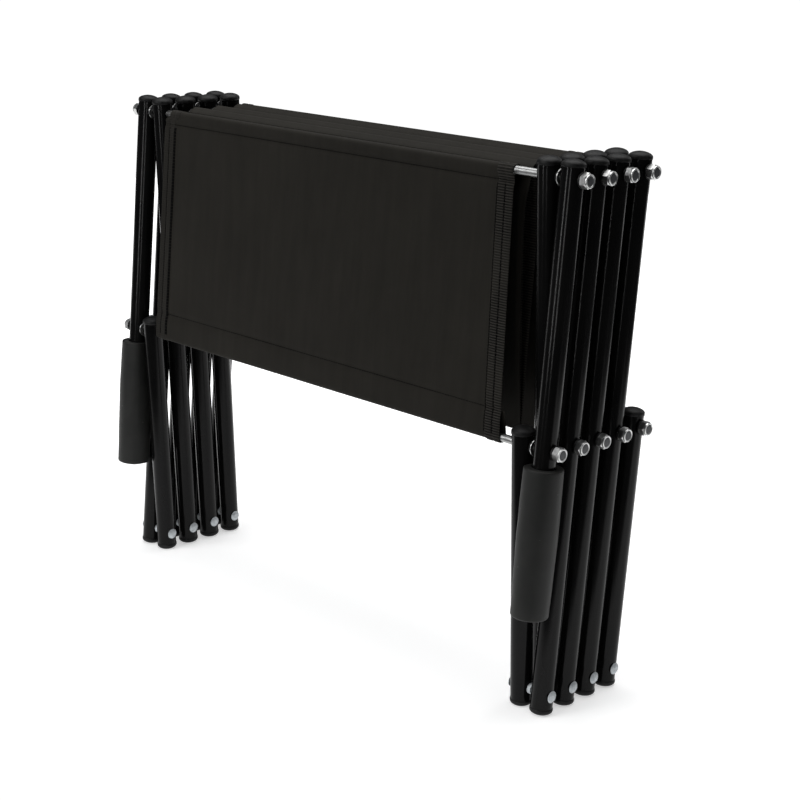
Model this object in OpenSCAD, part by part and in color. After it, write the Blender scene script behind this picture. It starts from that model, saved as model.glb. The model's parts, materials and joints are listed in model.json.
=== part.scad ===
// Folding cot: an accordion (lazy tongs) scissor frame with a canvas bed, modelled folded and standing.
// X runs across the cot, +Y towards its rear and +Z up. The origin is on the floor, under the middle of
// the folded cot. All sizes are in millimetres and all angles in degrees.
//
// Each side has two rows of bars. Outer bar k leans back and joins top pivot k, middle pivot k and foot
// pivot k - 1. Inner bar k leans forward and joins top pivot k - 1, middle pivot k and foot pivot k.

/* [Scissor frame] */
// Distance along a bar between neighbouring pivots
half_bar = 250; // [200:1:320]
// Distance between neighbouring pivots of one row when the cot is folded
fold_pitch = 32.5; // [32:0.5:40]
// Lean of the bars from upright when the cot is fully open
open_lean = 70; // [60:1:75]
// Height of the foot pivots above the floor
foot_height = 20; // [19.5:0.5:24]
// Distance from the middle of the cot to the inner row of bars
inner_x = 282; // [275:1:340]
// Distance from the inner row of bars to the outer row
row_step = 27; // [27:0.5:32]

/* [Tubes] */
// Outside diameter of the bars
tube_d = 22; // [18:0.5:22]
// Wall thickness of the bars
tube_wall = 1.2; // [1:0.1:1.6]
// Length of tube beyond a top or middle pivot
head_len = 11; // [10:0.5:14]
// Length of tube beyond a foot pivot
toe_len = 14.5; // [14:0.5:15]

/* [End caps] */
// Diameter of a cap's rim
cap_d = 23; // [22:0.5:26]
// Thickness of a cap's rim
cap_rim = 1.5; // [1:0.1:2]
// Height of a cap's dome
cap_dome = 5; // [4.5:0.5:7]
// Length of the spigot inside the tube
cap_spigot = 5; // [3:0.5:6]

/* [Rods and bolts] */
// Diameter of the rods and the pivot bolts
rod_d = 8; // [6:0.5:8]
// Width of a lock nut across its flats
nut_flats = 13; // [12:0.5:14]
// Height of a lock nut's hexagon
nut_hex = 6; // [5:0.5:7]
// Height of a lock nut's round collar
nut_collar = 2; // [1:0.5:3]
// Diameter of a lock nut's round collar
collar_d = 12; // [11:0.5:12]
// Outside diameter of the washers and of the spacers between the rows
washer_d = 17; // [15:0.5:18]
// Thickness of a washer
washer_t = 1.6; // [1:0.1:2]
// Diameter of a pivot bolt's round head
bolt_head_d = 14; // [12:0.5:15]
// Height of a pivot bolt's round head
bolt_head_h = 3.5; // [2:0.5:4]

/* [Foot rivets] */
// Diameter of a rivet's shank
rivet_d = 6; // [5:0.5:6]
// Diameter of a rivet's head
rivet_head_d = 12; // [10:0.5:12]
// Height of a rivet's head
rivet_head_h = 3; // [2:0.5:3]
// Outside diameter of a rivet's spacer
rivet_spacer_d = 11; // [9:0.5:12]

/* [Foam grips] */
// Outside diameter of a grip
grip_d = 38; // [30:0.5:38]
// Distance from the front middle pivot down to the top of a grip
grip_start = 16; // [14:1:24]
// Distance from the front middle pivot down to the bottom of a grip
grip_end = 162; // [110:1:170]
// Thickness of the closed bottom of a grip
grip_floor = 6; // [4:1:10]

/* [Canvas] */
// Distance from the middle of the cot to the canvas's left edge
canvas_left = 269; // [240:1:270]
// Distance from the middle of the cot to the canvas's right edge
canvas_right = 252; // [230:1:270]
// Thickness of the canvas
canvas_t = 1.2; // [1:0.1:1.4]

/* [Clearances] */
// Gap around a rod, bolt or rivet in its hole
run_gap = 0.05; // [0.02:0.01:0.1]
// Gap between a washer, spacer or head and the tube beside it
face_gap = 0.3; // [0.2:0.05:0.5]
// Gap around a rod in its canvas sleeve
sleeve_gap = 0.3; // [0.2:0.05:0.5]
// Gap to the plane where two halves of a pleat meet
meet_gap = 0.2; // [0.15:0.05:0.5]

/* [Hidden] */
$fn = 64;
BARS = 5;
OUTER = 0;
INNER = 1;
RIGHT = 1;
LEFT = -1;
SIDES = [["left", LEFT], ["right", RIGHT]];
PLEATS = [1 : BARS - 2];

PAINT = [0.09, 0.09, 0.09];
PLASTIC = [0.14, 0.14, 0.14];
ZINC = [0.82, 0.83, 0.84];
FOAM = [0.17, 0.18, 0.17];
CANVAS = [0.16, 0.15, 0.14];

fold = asin(fold_pitch / (2 * half_bar));
outer_x = inner_x + row_step;
tube_bore = tube_d - 2 * tube_wall;
row_gap = row_step - tube_d;
mid_z = foot_height + half_bar * cos(fold);
top_z = mid_z + half_bar * cos(fold);
outer_face = outer_x + tube_d / 2 + face_gap;
inner_face = inner_x - tube_d / 2 - face_gap;
nut_face = outer_face + washer_t + run_gap;
rod_end = nut_face + nut_hex + nut_collar - 0.3;
cloth_in = rod_d / 2 + sleeve_gap;
cloth_out = cloth_in + canvas_t;
flap_len = half_bar * sin(open_lean) - meet_gap;
flap_lean = asin((fold_pitch / 2 - meet_gap - cloth_out) / flap_len);
flap_start = cloth_out + meet_gap;
grip_flat = row_gap + tube_d / 2 - face_gap - meet_gap;
front_reach = 2 * fold_pitch + grip_end * sin(fold) + grip_d / 2 * cos(fold);
rear_reach = 2 * fold_pitch + (head_len + cap_rim) * sin(fold) + cap_d / 2 * cos(fold);
frame_y = (front_reach - rear_reach) / 2;

// Where the pivots are, as [y, z]
function mid_pivot(k) = [frame_y + (k - 3) * fold_pitch, mid_z];
function top_pivot(k) = [frame_y + (k - 2.5) * fold_pitch, top_z];
function foot_pivot(k) = [frame_y + (k - 2.5) * fold_pitch, foot_height];

// Which end pivots a bar has, and how far it runs from its middle pivot
function row_x(row) = row == OUTER ? outer_x : inner_x;
function has_top(row, k) = row == OUTER ? k < BARS : k > 1;
function has_foot(row, k) = row == OUTER ? k > 1 : k < BARS;
function has_grip(row, k) = row == OUTER && k == 1;
function bar_high(row, k) = has_top(row, k) ? half_bar + head_len : head_len;
function bar_low(row, k) =
    has_foot(row, k) ? -half_bar - toe_len :
    has_grip(row, k) ? grip_floor - grip_end :
    -head_len;

// The rod and bolt pivots whose nuts and washers go with set k, the last set being the rear bars'
function nut_pivots(k) =
    k == BARS ? [top_pivot(k - 1), mid_pivot(k)] :
    k == BARS - 1 ? [mid_pivot(k)] :
    [top_pivot(k), mid_pivot(k)];

// Puts its children on the middle pivot of a bar, with +Z up along the bar
module on_bar(row, k) {
    translate([0, mid_pivot(k)[0], mid_z])
        rotate([row == OUTER ? -fold : fold, 0, 0])
            children();
}

// Puts its children at a pivot and a distance from the middle, with +Z pointing out of that side
module outward(side, pivot, distance) {
    translate([side * distance, pivot[0], pivot[1]])
        rotate([0, side * 90, 0])
            children();
}

// A hole across a bar at a height along it
module cross_hole(diameter, height) {
    translate([-tube_d, 0, height])
        rotate([0, 90, 0])
            cylinder(d = diameter + 2 * run_gap, h = 2 * tube_d);
}

module bar(row, k, side) {
    low = bar_low(row, k);
    high = bar_high(row, k);
    color(PAINT)
        on_bar(row, k)
            translate([side * row_x(row), 0, 0])
                difference() {
                    translate([0, 0, low])
                        cylinder(d = tube_d, h = high - low);
                    translate([0, 0, low - 1])
                        cylinder(d = tube_bore, h = high - low + 2);
                    cross_hole(rod_d, 0);
                    if (has_top(row, k)) cross_hole(rod_d, half_bar);
                    if (has_foot(row, k)) cross_hole(rivet_d, -half_bar);
                }
}

// A low dome on a round base
module dome(diameter, height) {
    ball_r = (diameter * diameter / 4 + height * height) / (2 * height);
    intersection() {
        translate([0, 0, height - ball_r])
            sphere(r = ball_r);
        cylinder(d = diameter, h = height);
    }
}

// A cap on a tube's end at z = 0, with its spigot below
module end_cap() {
    translate([0, 0, -cap_spigot])
        cylinder(d = tube_bore - 2 * run_gap, h = cap_spigot);
    cylinder(d = cap_d, h = cap_rim);
    translate([0, 0, cap_rim])
        dome(cap_d, cap_dome);
}

// Foot caps are worn to a small flat where they stand on the floor
module caps(row, k) {
    floor_size = 4 * outer_x;
    color(PLASTIC)
        difference() {
            on_bar(row, k)
                for (s = SIDES)
                    translate([s[1] * row_x(row), 0, 0]) {
                        translate([0, 0, bar_high(row, k)])
                            end_cap();
                        if (!has_grip(row, k))
                            translate([0, 0, bar_low(row, k)])
                                rotate([180, 0, 0])
                                    end_cap();
                    }
            translate([-floor_size / 2, -floor_size / 2, -floor_size])
                cube(floor_size);
        }
}

// A rod across the whole cot, from nut to nut
module cross_rod(pivot) {
    color(ZINC)
        outward(RIGHT, pivot, -rod_end)
            cylinder(d = rod_d, h = 2 * rod_end);
}

module front_rods() {
    cross_rod(top_pivot(1));
    cross_rod(mid_pivot(1));
}

module rear_rods() {
    cross_rod(top_pivot(BARS - 1));
    cross_rod(mid_pivot(BARS));
}

module pivot_bolts(k) {
    color(ZINC)
        for (s = SIDES)
            outward(s[1], mid_pivot(k), inner_face) {
                cylinder(d = rod_d, h = rod_end - inner_face);
                rotate([180, 0, 0])
                    dome(bolt_head_d, bolt_head_h);
            }
}

module lock_nut() {
    difference() {
        union() {
            cylinder(d = nut_flats / cos(30), h = nut_hex, $fn = 6);
            cylinder(d = collar_d, h = nut_hex + nut_collar);
        }
        translate([0, 0, -1])
            cylinder(d = rod_d + 2 * run_gap, h = nut_hex + nut_collar + 2);
    }
}

module lock_nuts(k) {
    color(ZINC)
        for (s = SIDES, pivot = nut_pivots(k))
            outward(s[1], pivot, nut_face)
                lock_nut();
}

module ring(outside, hole, height) {
    difference() {
        cylinder(d = outside, h = height);
        translate([0, 0, -1])
            cylinder(d = hole + 2 * run_gap, h = height + 2);
    }
}

// A washer under each nut, and a spacer between the two rows of bars
module spacer_washers(k) {
    color(ZINC)
        for (s = SIDES, pivot = nut_pivots(k)) {
            outward(s[1], pivot, outer_face)
                ring(washer_d, rod_d, washer_t);
            outward(s[1], pivot, inner_x + tube_d / 2 + face_gap)
                ring(washer_d, rod_d, row_gap - 2 * face_gap);
        }
}

// A rivet through both rows on each side, with a spacer between the rows
module foot_rivets(k) {
    color(ZINC)
        for (s = SIDES) {
            outward(s[1], foot_pivot(k), inner_face) {
                cylinder(d = rivet_d, h = outer_face - inner_face);
                rotate([180, 0, 0])
                    dome(rivet_head_d, rivet_head_h);
                translate([0, 0, outer_face - inner_face])
                    dome(rivet_head_d, rivet_head_h);
            }
            outward(s[1], foot_pivot(k), inner_x + tube_d / 2 + face_gap)
                ring(rivet_spacer_d, rivet_d, row_gap - 2 * face_gap);
        }
}

// Closed-end grips on the free ends of the front bars, pressed flat beside the inner row
module foam_grips() {
    color(FOAM)
        on_bar(OUTER, 1)
            for (s = SIDES)
                translate([s[1] * outer_x, 0, -grip_end])
                    intersection() {
                        difference() {
                            cylinder(d = grip_d, h = grip_end - grip_start);
                            translate([0, 0, grip_floor])
                                cylinder(d = tube_d + 2 * run_gap, h = grip_end);
                        }
                        translate([s[1] * (grip_d - grip_flat), 0, grip_end / 2])
                            cube([2 * grip_d, 2 * grip_d, 2 * grip_end], center = true);
                    }
}

// A box as wide as the canvas
module canvas_slab(y, z, thick, high) {
    translate([-canvas_left, y, z])
        cube([canvas_left + canvas_right, thick, high]);
}

// A canvas sleeve around a rod
module canvas_sleeve() {
    translate([-canvas_left, 0, 0])
        rotate([0, 90, 0])
            difference() {
                cylinder(r = cloth_out, h = canvas_left + canvas_right);
                translate([0, 0, -1])
                    cylinder(r = cloth_in, h = canvas_left + canvas_right + 2);
            }
}

// A taut panel between the sleeves of a top rod and of a middle rod
module canvas_panel(row, k, face) {
    color(CANVAS)
        on_bar(row, k) {
            difference() {
                canvas_slab(face > 0 ? cloth_in : -cloth_out, 0, canvas_t, half_bar);
                for (z = [0, half_bar])
                    translate([-2 * inner_x, 0, z])
                        rotate([0, 90, 0])
                            cylinder(r = cloth_in, h = 4 * inner_x);
            }
            canvas_sleeve();
            translate([0, 0, half_bar])
                canvas_sleeve();
        }
}

// Half of a pleat, hanging from a top rod behind it, from some way below the rod's middle
module pleat_half(start) {
    rotate([flap_lean, 0, 0])
        canvas_slab(cloth_in, -flap_len, canvas_t, flap_len - start);
}

module pleat_front(k) {
    color(CANVAS)
        translate([0, top_pivot(k)[0], top_z])
            pleat_half(flap_start);
}

// The rear half of a pleat carries the sleeve of its rod, except at the last rod, where the panel does
module pleat_rear(k) {
    has_sleeve = k < BARS - 2;
    color(CANVAS)
        translate([0, top_pivot(k + 1)[0], top_z]) {
            mirror([0, 1, 0])
                pleat_half(has_sleeve ? canvas_t : flap_start);
            if (has_sleeve)
                canvas_sleeve();
        }
}

for (k = [1 : BARS], s = SIDES) {
    bar(OUTER, k, s[1]);
    bar(INNER, k, s[1]);
}
for (k = [1 : BARS]) {
    caps(OUTER, k);
    caps(INNER, k);
    lock_nuts(k);
    spacer_washers(k);
}
for (k = [1 : BARS - 1])
    foot_rivets(k);
for (k = [2 : BARS - 1])
    pivot_bolts(k);
front_rods();
cross_rod(top_pivot(2));  // top_rod_2
cross_rod(top_pivot(3));  // top_rod_3
rear_rods();
foam_grips();
canvas_panel(OUTER, 1, -1);  // canvas_front_panel
canvas_panel(INNER, BARS, 1);  // canvas_rear_panel
for (k = PLEATS) {
    pleat_front(k);
    pleat_rear(k);
}
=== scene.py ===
import json
import math
import random

import bmesh
import bpy
import numpy as np
from mathutils import Matrix, Vector, noise


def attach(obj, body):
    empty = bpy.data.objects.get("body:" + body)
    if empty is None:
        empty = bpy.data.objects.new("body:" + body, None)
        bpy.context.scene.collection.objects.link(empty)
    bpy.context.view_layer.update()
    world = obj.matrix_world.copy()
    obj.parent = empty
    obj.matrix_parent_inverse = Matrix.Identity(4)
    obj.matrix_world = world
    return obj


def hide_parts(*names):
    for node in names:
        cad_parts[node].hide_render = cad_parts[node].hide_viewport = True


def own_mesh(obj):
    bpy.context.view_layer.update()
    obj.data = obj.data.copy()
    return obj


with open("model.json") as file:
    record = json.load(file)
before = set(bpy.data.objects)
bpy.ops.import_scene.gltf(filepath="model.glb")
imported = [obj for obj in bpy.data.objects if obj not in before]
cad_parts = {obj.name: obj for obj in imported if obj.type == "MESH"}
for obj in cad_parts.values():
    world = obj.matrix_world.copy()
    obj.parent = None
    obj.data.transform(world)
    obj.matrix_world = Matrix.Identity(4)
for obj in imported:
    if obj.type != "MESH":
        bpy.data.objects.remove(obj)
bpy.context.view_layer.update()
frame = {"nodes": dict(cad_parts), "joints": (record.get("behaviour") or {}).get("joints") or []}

# Folding cot. Metres, X across the cot, +Y towards its rear, +Z up.
MM = 0.001
SIDES = {"left": -1, "right": 1}
BARS = range(1, 6)
RODS = range(1, 5)
PLEATS = range(1, 4)
ROD_NODES = {1: "front_rods", 2: "top_rod_2", 3: "top_rod_3", 4: "rear_rods"}

# Frame sizes. They are the CAD's, but the caps, collars, washers and spacers follow the photograph
TUBE_R = 11 * MM
HEAD_LEN = 11 * MM
TOE_LEN = 14.5 * MM
INNER_X = 282 * MM
OUTER_X = 309 * MM
GAP = 0.3 * MM
OUTER_FACE = OUTER_X + TUBE_R + GAP
INNER_FACE = INNER_X - TUBE_R - GAP
CAP_R = 11.5 * MM
CAP_SKIRT = 0.5 * MM
CAP_WALL = 1.7 * MM
CAP_HIGH = 6.9 * MM
ROD_R = 4 * MM
WASHER_R = 7.4 * MM
SPACER_R = 8.2 * MM
BUSH_R = 6.4 * MM
WASHER_T = 1.6 * MM
NUT_FACE = OUTER_FACE + WASHER_T + 0.05 * MM
NUT_FLATS = 13 * MM
NUT_HEX = 6 * MM
COLLAR_R = 6.45 * MM
COLLAR_H = 2 * MM
ROD_END = NUT_FACE + NUT_HEX + COLLAR_H - 0.3 * MM
SPACER_T = OUTER_X - INNER_X - 2 * TUBE_R - 2 * GAP
BOLT_HEAD_R = 7 * MM
BOLT_HEAD_H = 3.5 * MM
RIVET_R = 3 * MM
RIVET_HEAD_R = 6 * MM
RIVET_HEAD_H = 3 * MM
RIVET_SPACER_R = 5.5 * MM
GRIP_START = 16 * MM
GRIP_END = 162 * MM
GRIP_R = 19.0 * MM
GRIP_FLAT = 14.0 * MM
GRIP_ROLL = 1.4 * MM
GRIP_WOBBLE = 0.32 * MM
BOLTED = (2, 3, 4)

# Cloth sizes. The wraps are the radii of the panels' sleeves, the pleats' sleeves and what laps them
CLOTH_T = 0.6 * MM
INNER_WRAP = 4.6 * MM
PLEAT_WRAP = 4.85 * MM
OUTER_WRAP = 5.45 * MM
# How far the cloth stands off the top of each rod, and the spread of that in degrees
LOFT = {1: 0.0, 2: 1.6 * MM, 3: 1.6 * MM, 4: 3.0 * MM}
LOFT_SPREAD = 45
# Where cloth starts round a rod, in degrees: a panel, a pleat's sleeve, and a pleat that laps a sleeve
PANEL_START = -80
SLEEVE_START = 260
LAP_START = 66
TURN_STEPS = 40
# The cloth from a rod to a fold: as the open cot needs it, and how far each pleat hangs at rest
FLAP_HANG = {1: 250 * MM, 2: 257 * MM, 3: 258 * MM}
# A pleat's shoulder beside its rod: how far it stands out, at what drop, and where it leaves the rod
SHOULDER = 9.5 * MM
SHOULDER_DROP = 10 * MM
SHOULDER_ANGLE = 60
PLEAT_LEFT = 266 * MM
PLEAT_RIGHT = 250 * MM
SLEEVE_STEP = 5 * MM
EDGE_BOW = 0.4 * MM
# A panel's edges, out from the middle: its sleeve's end, and its side's top and bottom
FRONT_EDGES = {"left": (262 * MM, 270.3 * MM, 270.3 * MM), "right": (243 * MM, 244 * MM, 258 * MM)}
REAR_EDGES = {"left": (258 * MM, 269 * MM, 269.5 * MM), "right": (242 * MM, 245 * MM, 256 * MM)}
HEM_T = 0.45 * MM
HEM_OUT = 0.35 * MM
HEM_ROLL = 0.35 * MM
HEM_GROOVE = 0.4 * MM
RIB_PITCH = 2.5 * MM
RIB = {"left": 0.12 * MM, "right": 0.42 * MM}
PLEAT_RIB = 0.2 * MM
HEM_WIDTH = {"left": 17 * MM, "right": 19 * MM}
PLEAT_HEM = 18 * MM
# Rows of stitches along a panel's sides, in from the edge as shares of the hem's width. On the left,
# the close rows from 0.99 on lie side by side as a dark band of thread: a painted shadow along the
# hem's inner edge.
STITCH_ROWS_AND_SHADOW_BAND = {"left": (0.5, 0.99, 1.03, 1.07, 1.11, 1.15), "right": (0.48, 0.52, 1.02)}
# Points across a hem as shares of its width, and the step between its points along the cloth
HEM_SHARES = (0, 0.04, 0.1, 0.2, 0.3, 0.4, 0.47, 0.5, 0.53, 0.6, 0.7, 0.8, 0.9, 0.96, 1.0)
HEM_STEP = 0.62 * MM
# A panel's seams, down from its top rod and up from its middle rod, and how deep and wide each dips
TOP_SEAM = 10.5 * MM
LOW_SEAM = 26 * MM
TOP_DIP = (1.5 * MM, 3.0 * MM)
LOW_DIP = (0.8 * MM, 4 * MM)
# How far the face puffs out below the low seam, and how far behind it the turned-up end lies
LOW_PUFF = 0.5 * MM
TURN_UP = 1.9 * MM
STITCH_R = 0.34 * MM
STITCH_LEN = 3.0 * MM
STITCH_STEP = 3.5 * MM
SEAM_INSET = 4 * MM
# The step between a sheet's points along the cloth, and its points across
PANEL_STEP, PANEL_COLUMNS = 1.5 * MM, 90
PLEAT_STEP, PLEAT_COLUMNS = 2.0 * MM, 80
# Heights of a panel's ripples, of the pulls beside its edges and of a pleat's waves
RIPPLE_H = 0.28 * MM
PULL_H = 0.22 * MM
WAVE_H = 1.1 * MM
# A pleat's waves start and are full this far below the rod, and fade out over its last stretch
WAVE_RISE = (30 * MM, 120 * MM)
WAVE_FADE = 70 * MM

PIVOT = {j["name"]: Vector(j["pos_m"]) for j in frame["joints"]}
MID = {k: PIVOT[f"middle_pivot_{k}"] for k in BARS}
TOP = {k: PIVOT[f"top_pivot_{k}"] for k in RODS}
FOOT = {k: Vector((0, TOP[k].y, PIVOT["frame_fold"].z)) for k in RODS}
HALF_BAR = (TOP[1] - MID[1]).length
FOLD = math.asin((TOP[1].y - MID[1].y) / HALF_BAR)


# Places

def on_bar(row, k, x=0.0):
    """The middle pivot of a bar, with +Z up along the bar."""
    lean = -FOLD if row == "outer" else FOLD
    return Matrix.Translation((x, MID[k].y, MID[k].z)) @ Matrix.Rotation(lean, 4, "X")


def outward(side, pivot, distance):
    """A pivot's place on one side, with +Z pointing out of that side."""
    turn = Matrix.Rotation(side * math.pi / 2, 4, "Y")
    return Matrix.Translation((side * distance, pivot.y, pivot.z)) @ turn


def nut_pivots(k):
    """The rod and bolt pivots whose nuts and washers go with set k."""
    if k == 5:
        return [TOP[4], MID[5]]
    if k == 4:
        return [MID[4]]
    return [TOP[k], MID[k]]


def nut_body(k):
    """The body that carries the nuts and washers of set k."""
    return "inner_5" if k == 5 else f"outer_{k}"


# Mesh building

class Shape:
    """The points and faces of one mesh while it is put together."""

    def __init__(self):
        self.points = []
        self.faces = []
        self.shades = []

    def add(self, place, points, faces, shade=0):
        first = len(self.points)
        self.points += [place @ Vector(p) for p in points]
        self.faces += [[first + i for i in face] for face in faces]
        self.shades += [shade] * len(faces)

    def lathe(self, place, profile, sides=56, shade=0, ring=False):
        """Turns a line of (radius, height) about +Z. A ring's last point joins its first."""
        points = []
        rows = []
        for radius, height in profile:
            row = len(points)
            if radius < 1e-7:
                points.append((0, 0, height))
                rows.append([row] * sides)
                continue
            for i in range(sides):
                a = 2 * math.pi * i / sides
                points.append((radius * math.cos(a), radius * math.sin(a), height))
            rows.append([row + i for i in range(sides)])
        if ring:
            rows.append(rows[0])
        faces = []
        for low, high in zip(rows, rows[1:]):
            for i in range(sides):
                j = (i + 1) % sides
                face = [low[i], low[j], high[j], high[i]]
                face = [p for n, p in enumerate(face) if p not in face[:n]]
                if len(face) > 2:
                    faces.append(face)
        self.add(place, points, faces, shade)


def piece(name, shape, materials, body, nodes, sharp=35):
    """Makes a shape's object, which rides on a body and stands for CAD nodes."""
    mesh = bpy.data.meshes.new(name)
    mesh.from_pydata([tuple(p) for p in shape.points], [], shape.faces)
    mesh.polygons.foreach_set("material_index", shape.shades)
    for material in materials:
        mesh.materials.append(material)
    solid = bmesh.new()
    solid.from_mesh(mesh)
    bmesh.ops.recalc_face_normals(solid, faces=solid.faces)
    solid.to_mesh(mesh)
    solid.free()
    mesh.shade_smooth()
    mesh.set_sharp_from_angle(angle=math.radians(sharp))
    made = bpy.data.objects.new(name, mesh)
    bpy.context.scene.collection.objects.link(made)
    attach(made, body)
    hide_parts(*nodes)
    return made


def arc(radius, start, end, steps, centre=(0.0, 0.0)):
    """Points on a circle, by angles in degrees."""
    angles = np.radians(np.linspace(start, end, steps))
    return [(centre[0] + radius * math.cos(a), centre[1] + radius * math.sin(a)) for a in angles]


def dome(radius, height, base, steps=10):
    """A dome's profile from its rim up to its top."""
    ball = (radius * radius + height * height) / (2 * height)
    rim = math.asin(min(1.0, radius / ball))
    line = []
    for i in range(steps + 1):
        a = rim * (1 - i / steps)
        line.append((ball * math.sin(a), base + height - ball + ball * math.cos(a)))
    line[-1] = (0.0, base + height)
    return line


# Materials

def new_material(name):
    material = bpy.data.materials.new(name)
    material.use_nodes = True
    tree = material.node_tree
    return material, tree, tree.nodes["Principled BSDF"]


def node(tree, kind, inputs=None, **settings):
    made = tree.nodes.new(kind)
    for key, value in settings.items():
        setattr(made, key, value)
    for key, value in (inputs or {}).items():
        if isinstance(value, bpy.types.NodeSocket):
            tree.links.new(value, made.inputs[key])
        else:
            made.inputs[key].default_value = value
    return made


def colour_range(tree, value, low, high, stops=(0.35, 0.65)):
    """A colour between low and high, as a value goes between the two stops."""
    ramp = node(tree, "ShaderNodeValToRGB", {"Fac": value})
    first, last = ramp.color_ramp.elements
    first.position, last.position = stops
    first.color = (*low, 1)
    last.color = (*high, 1)
    return ramp.outputs["Color"]


def value_range(tree, value, low, high):
    made = node(tree, "ShaderNodeMapRange", {"Value": value, "To Min": low, "To Max": high})
    return made.outputs["Result"]


def bump(tree, height, strength, distance, under=None):
    inputs = {"Height": height, "Strength": strength, "Distance": distance}
    if under is not None:
        inputs["Normal"] = under
    return node(tree, "ShaderNodeBump", inputs).outputs["Normal"]


def place(tree, scale=(1, 1, 1)):
    """Object coordinates, which are the frame's metres, stretched by a scale."""
    coordinates = node(tree, "ShaderNodeTexCoord").outputs["Object"]
    return node(tree, "ShaderNodeMapping", {"Vector": coordinates, "Scale": scale}).outputs["Vector"]


def noise_value(tree, where, scale, detail=3.0, roughness=0.5):
    inputs = {"Vector": where, "Scale": scale, "Detail": detail, "Roughness": roughness}
    return node(tree, "ShaderNodeTexNoise", inputs).outputs["Fac"]


def paint_material():
    """Black gloss powder coat with a fine orange peel and faint rubbing along the tubes."""
    material, tree, shader = new_material("black_powder_coat")
    where = place(tree)
    along = place(tree, (1, 1, 0.06))
    patches = noise_value(tree, where, 14, 4)
    rubs = noise_value(tree, along, 900, 3, 0.6)
    peel = noise_value(tree, where, 620, 2)
    base = colour_range(tree, patches, (0.0030, 0.0030, 0.0031), (0.0048, 0.0047, 0.0046))
    tree.links.new(base, shader.inputs["Base Color"])
    mixed = node(tree, "ShaderNodeMath", {0: rubs, 1: patches}, operation="MULTIPLY")
    rough = value_range(tree, mixed.outputs["Value"], 0.12, 0.3)
    tree.links.new(rough, shader.inputs["Roughness"])
    shader.inputs["Specular IOR Level"].default_value = 0.13
    tree.links.new(bump(tree, peel, 0.06, 0.0002), shader.inputs["Normal"])
    return material


def plastic_material():
    """Moulded black plastic of the end caps, with a soft sheen and scuffed crowns."""
    material, tree, shader = new_material("moulded_black_plastic")
    where = place(tree)
    grain = noise_value(tree, where, 1500, 2)
    scuffs = noise_value(tree, where, 160, 5, 0.7)
    base = colour_range(tree, scuffs, (0.007, 0.007, 0.0072), (0.022, 0.0218, 0.0215), (0.42, 0.72))
    tree.links.new(base, shader.inputs["Base Color"])
    tree.links.new(value_range(tree, scuffs, 0.36, 0.6), shader.inputs["Roughness"])
    shader.inputs["Specular IOR Level"].default_value = 0.16
    tree.links.new(bump(tree, grain, 0.15, 0.0001), shader.inputs["Normal"])
    return material


def zinc_material(name, low, high, rough, marked=True):
    """Zinc plate, bright or dull, with fine drawing marks and faint cloudy passivation."""
    material, tree, shader = new_material(name)
    where = place(tree)
    clouds = noise_value(tree, where, 130, 4, 0.6)
    marks = noise_value(tree, place(tree, (0.05, 1, 1)), 2600, 2)
    dull = (low, low * 1.005, low * 0.99)
    clean = (high, high * 1.005, high)
    tree.links.new(colour_range(tree, clouds, dull, clean), shader.inputs["Base Color"])
    shader.inputs["Metallic"].default_value = 1.0
    tree.links.new(value_range(tree, clouds, *rough), shader.inputs["Roughness"])
    if marked:
        tree.links.new(bump(tree, marks, 0.03, 0.00002), shader.inputs["Normal"])
    return material


def nylon_material():
    material, tree, shader = new_material("grey_nylon")
    mottle = noise_value(tree, place(tree), 700, 3)
    base = colour_range(tree, mottle, (0.02, 0.021, 0.024), (0.045, 0.047, 0.052))
    tree.links.new(base, shader.inputs["Base Color"])
    shader.inputs["Roughness"].default_value = 0.45
    tree.links.new(bump(tree, mottle, 0.2, 0.0001), shader.inputs["Normal"])
    return material


def aluminium_material():
    """Pressed aluminium rivet heads with a satin skin and small press marks."""
    material, tree, shader = new_material("pressed_aluminium")
    where = place(tree)
    clouds = noise_value(tree, where, 300, 4, 0.6)
    marks = noise_value(tree, where, 1400, 3)
    base = colour_range(tree, clouds, (0.40, 0.43, 0.45), (0.62, 0.65, 0.67))
    tree.links.new(base, shader.inputs["Base Color"])
    shader.inputs["Metallic"].default_value = 0.45
    tree.links.new(value_range(tree, clouds, 0.42, 0.62), shader.inputs["Roughness"])
    tree.links.new(bump(tree, marks, 0.3, 0.0001), shader.inputs["Normal"])
    return material


def foam_material():
    """Closed-cell foam: matte skin, fine pores and a few pale specks."""
    material, tree, shader = new_material("closed_cell_foam")
    where = place(tree)
    soft = noise_value(tree, where, 26, 4, 0.6)
    cells = node(tree, "ShaderNodeTexVoronoi", {"Vector": where, "Scale": 1500.0})
    specks = node(tree, "ShaderNodeTexVoronoi", {"Vector": where, "Scale": 95.0})
    skin = colour_range(tree, soft, (0.0120, 0.0123, 0.0114), (0.0174, 0.0177, 0.0165))
    dot = colour_range(tree, specks.outputs["Distance"], (1, 1, 1), (0, 0, 0), (0.02, 0.045))
    mix = node(tree, "ShaderNodeMix", {"Factor": dot}, data_type="RGBA")
    tree.links.new(skin, mix.inputs["A"])
    mix.inputs["B"].default_value = (0.16, 0.165, 0.17, 1)
    tree.links.new(mix.outputs["Result"], shader.inputs["Base Color"])
    tree.links.new(value_range(tree, soft, 0.46, 0.6), shader.inputs["Roughness"])
    shader.inputs["Specular IOR Level"].default_value = 0.25
    fine = bump(tree, cells.outputs["Distance"], 0.35, 0.0002)
    tree.links.new(bump(tree, soft, 0.2, 0.0012, fine), shader.inputs["Normal"])
    return material


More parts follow.
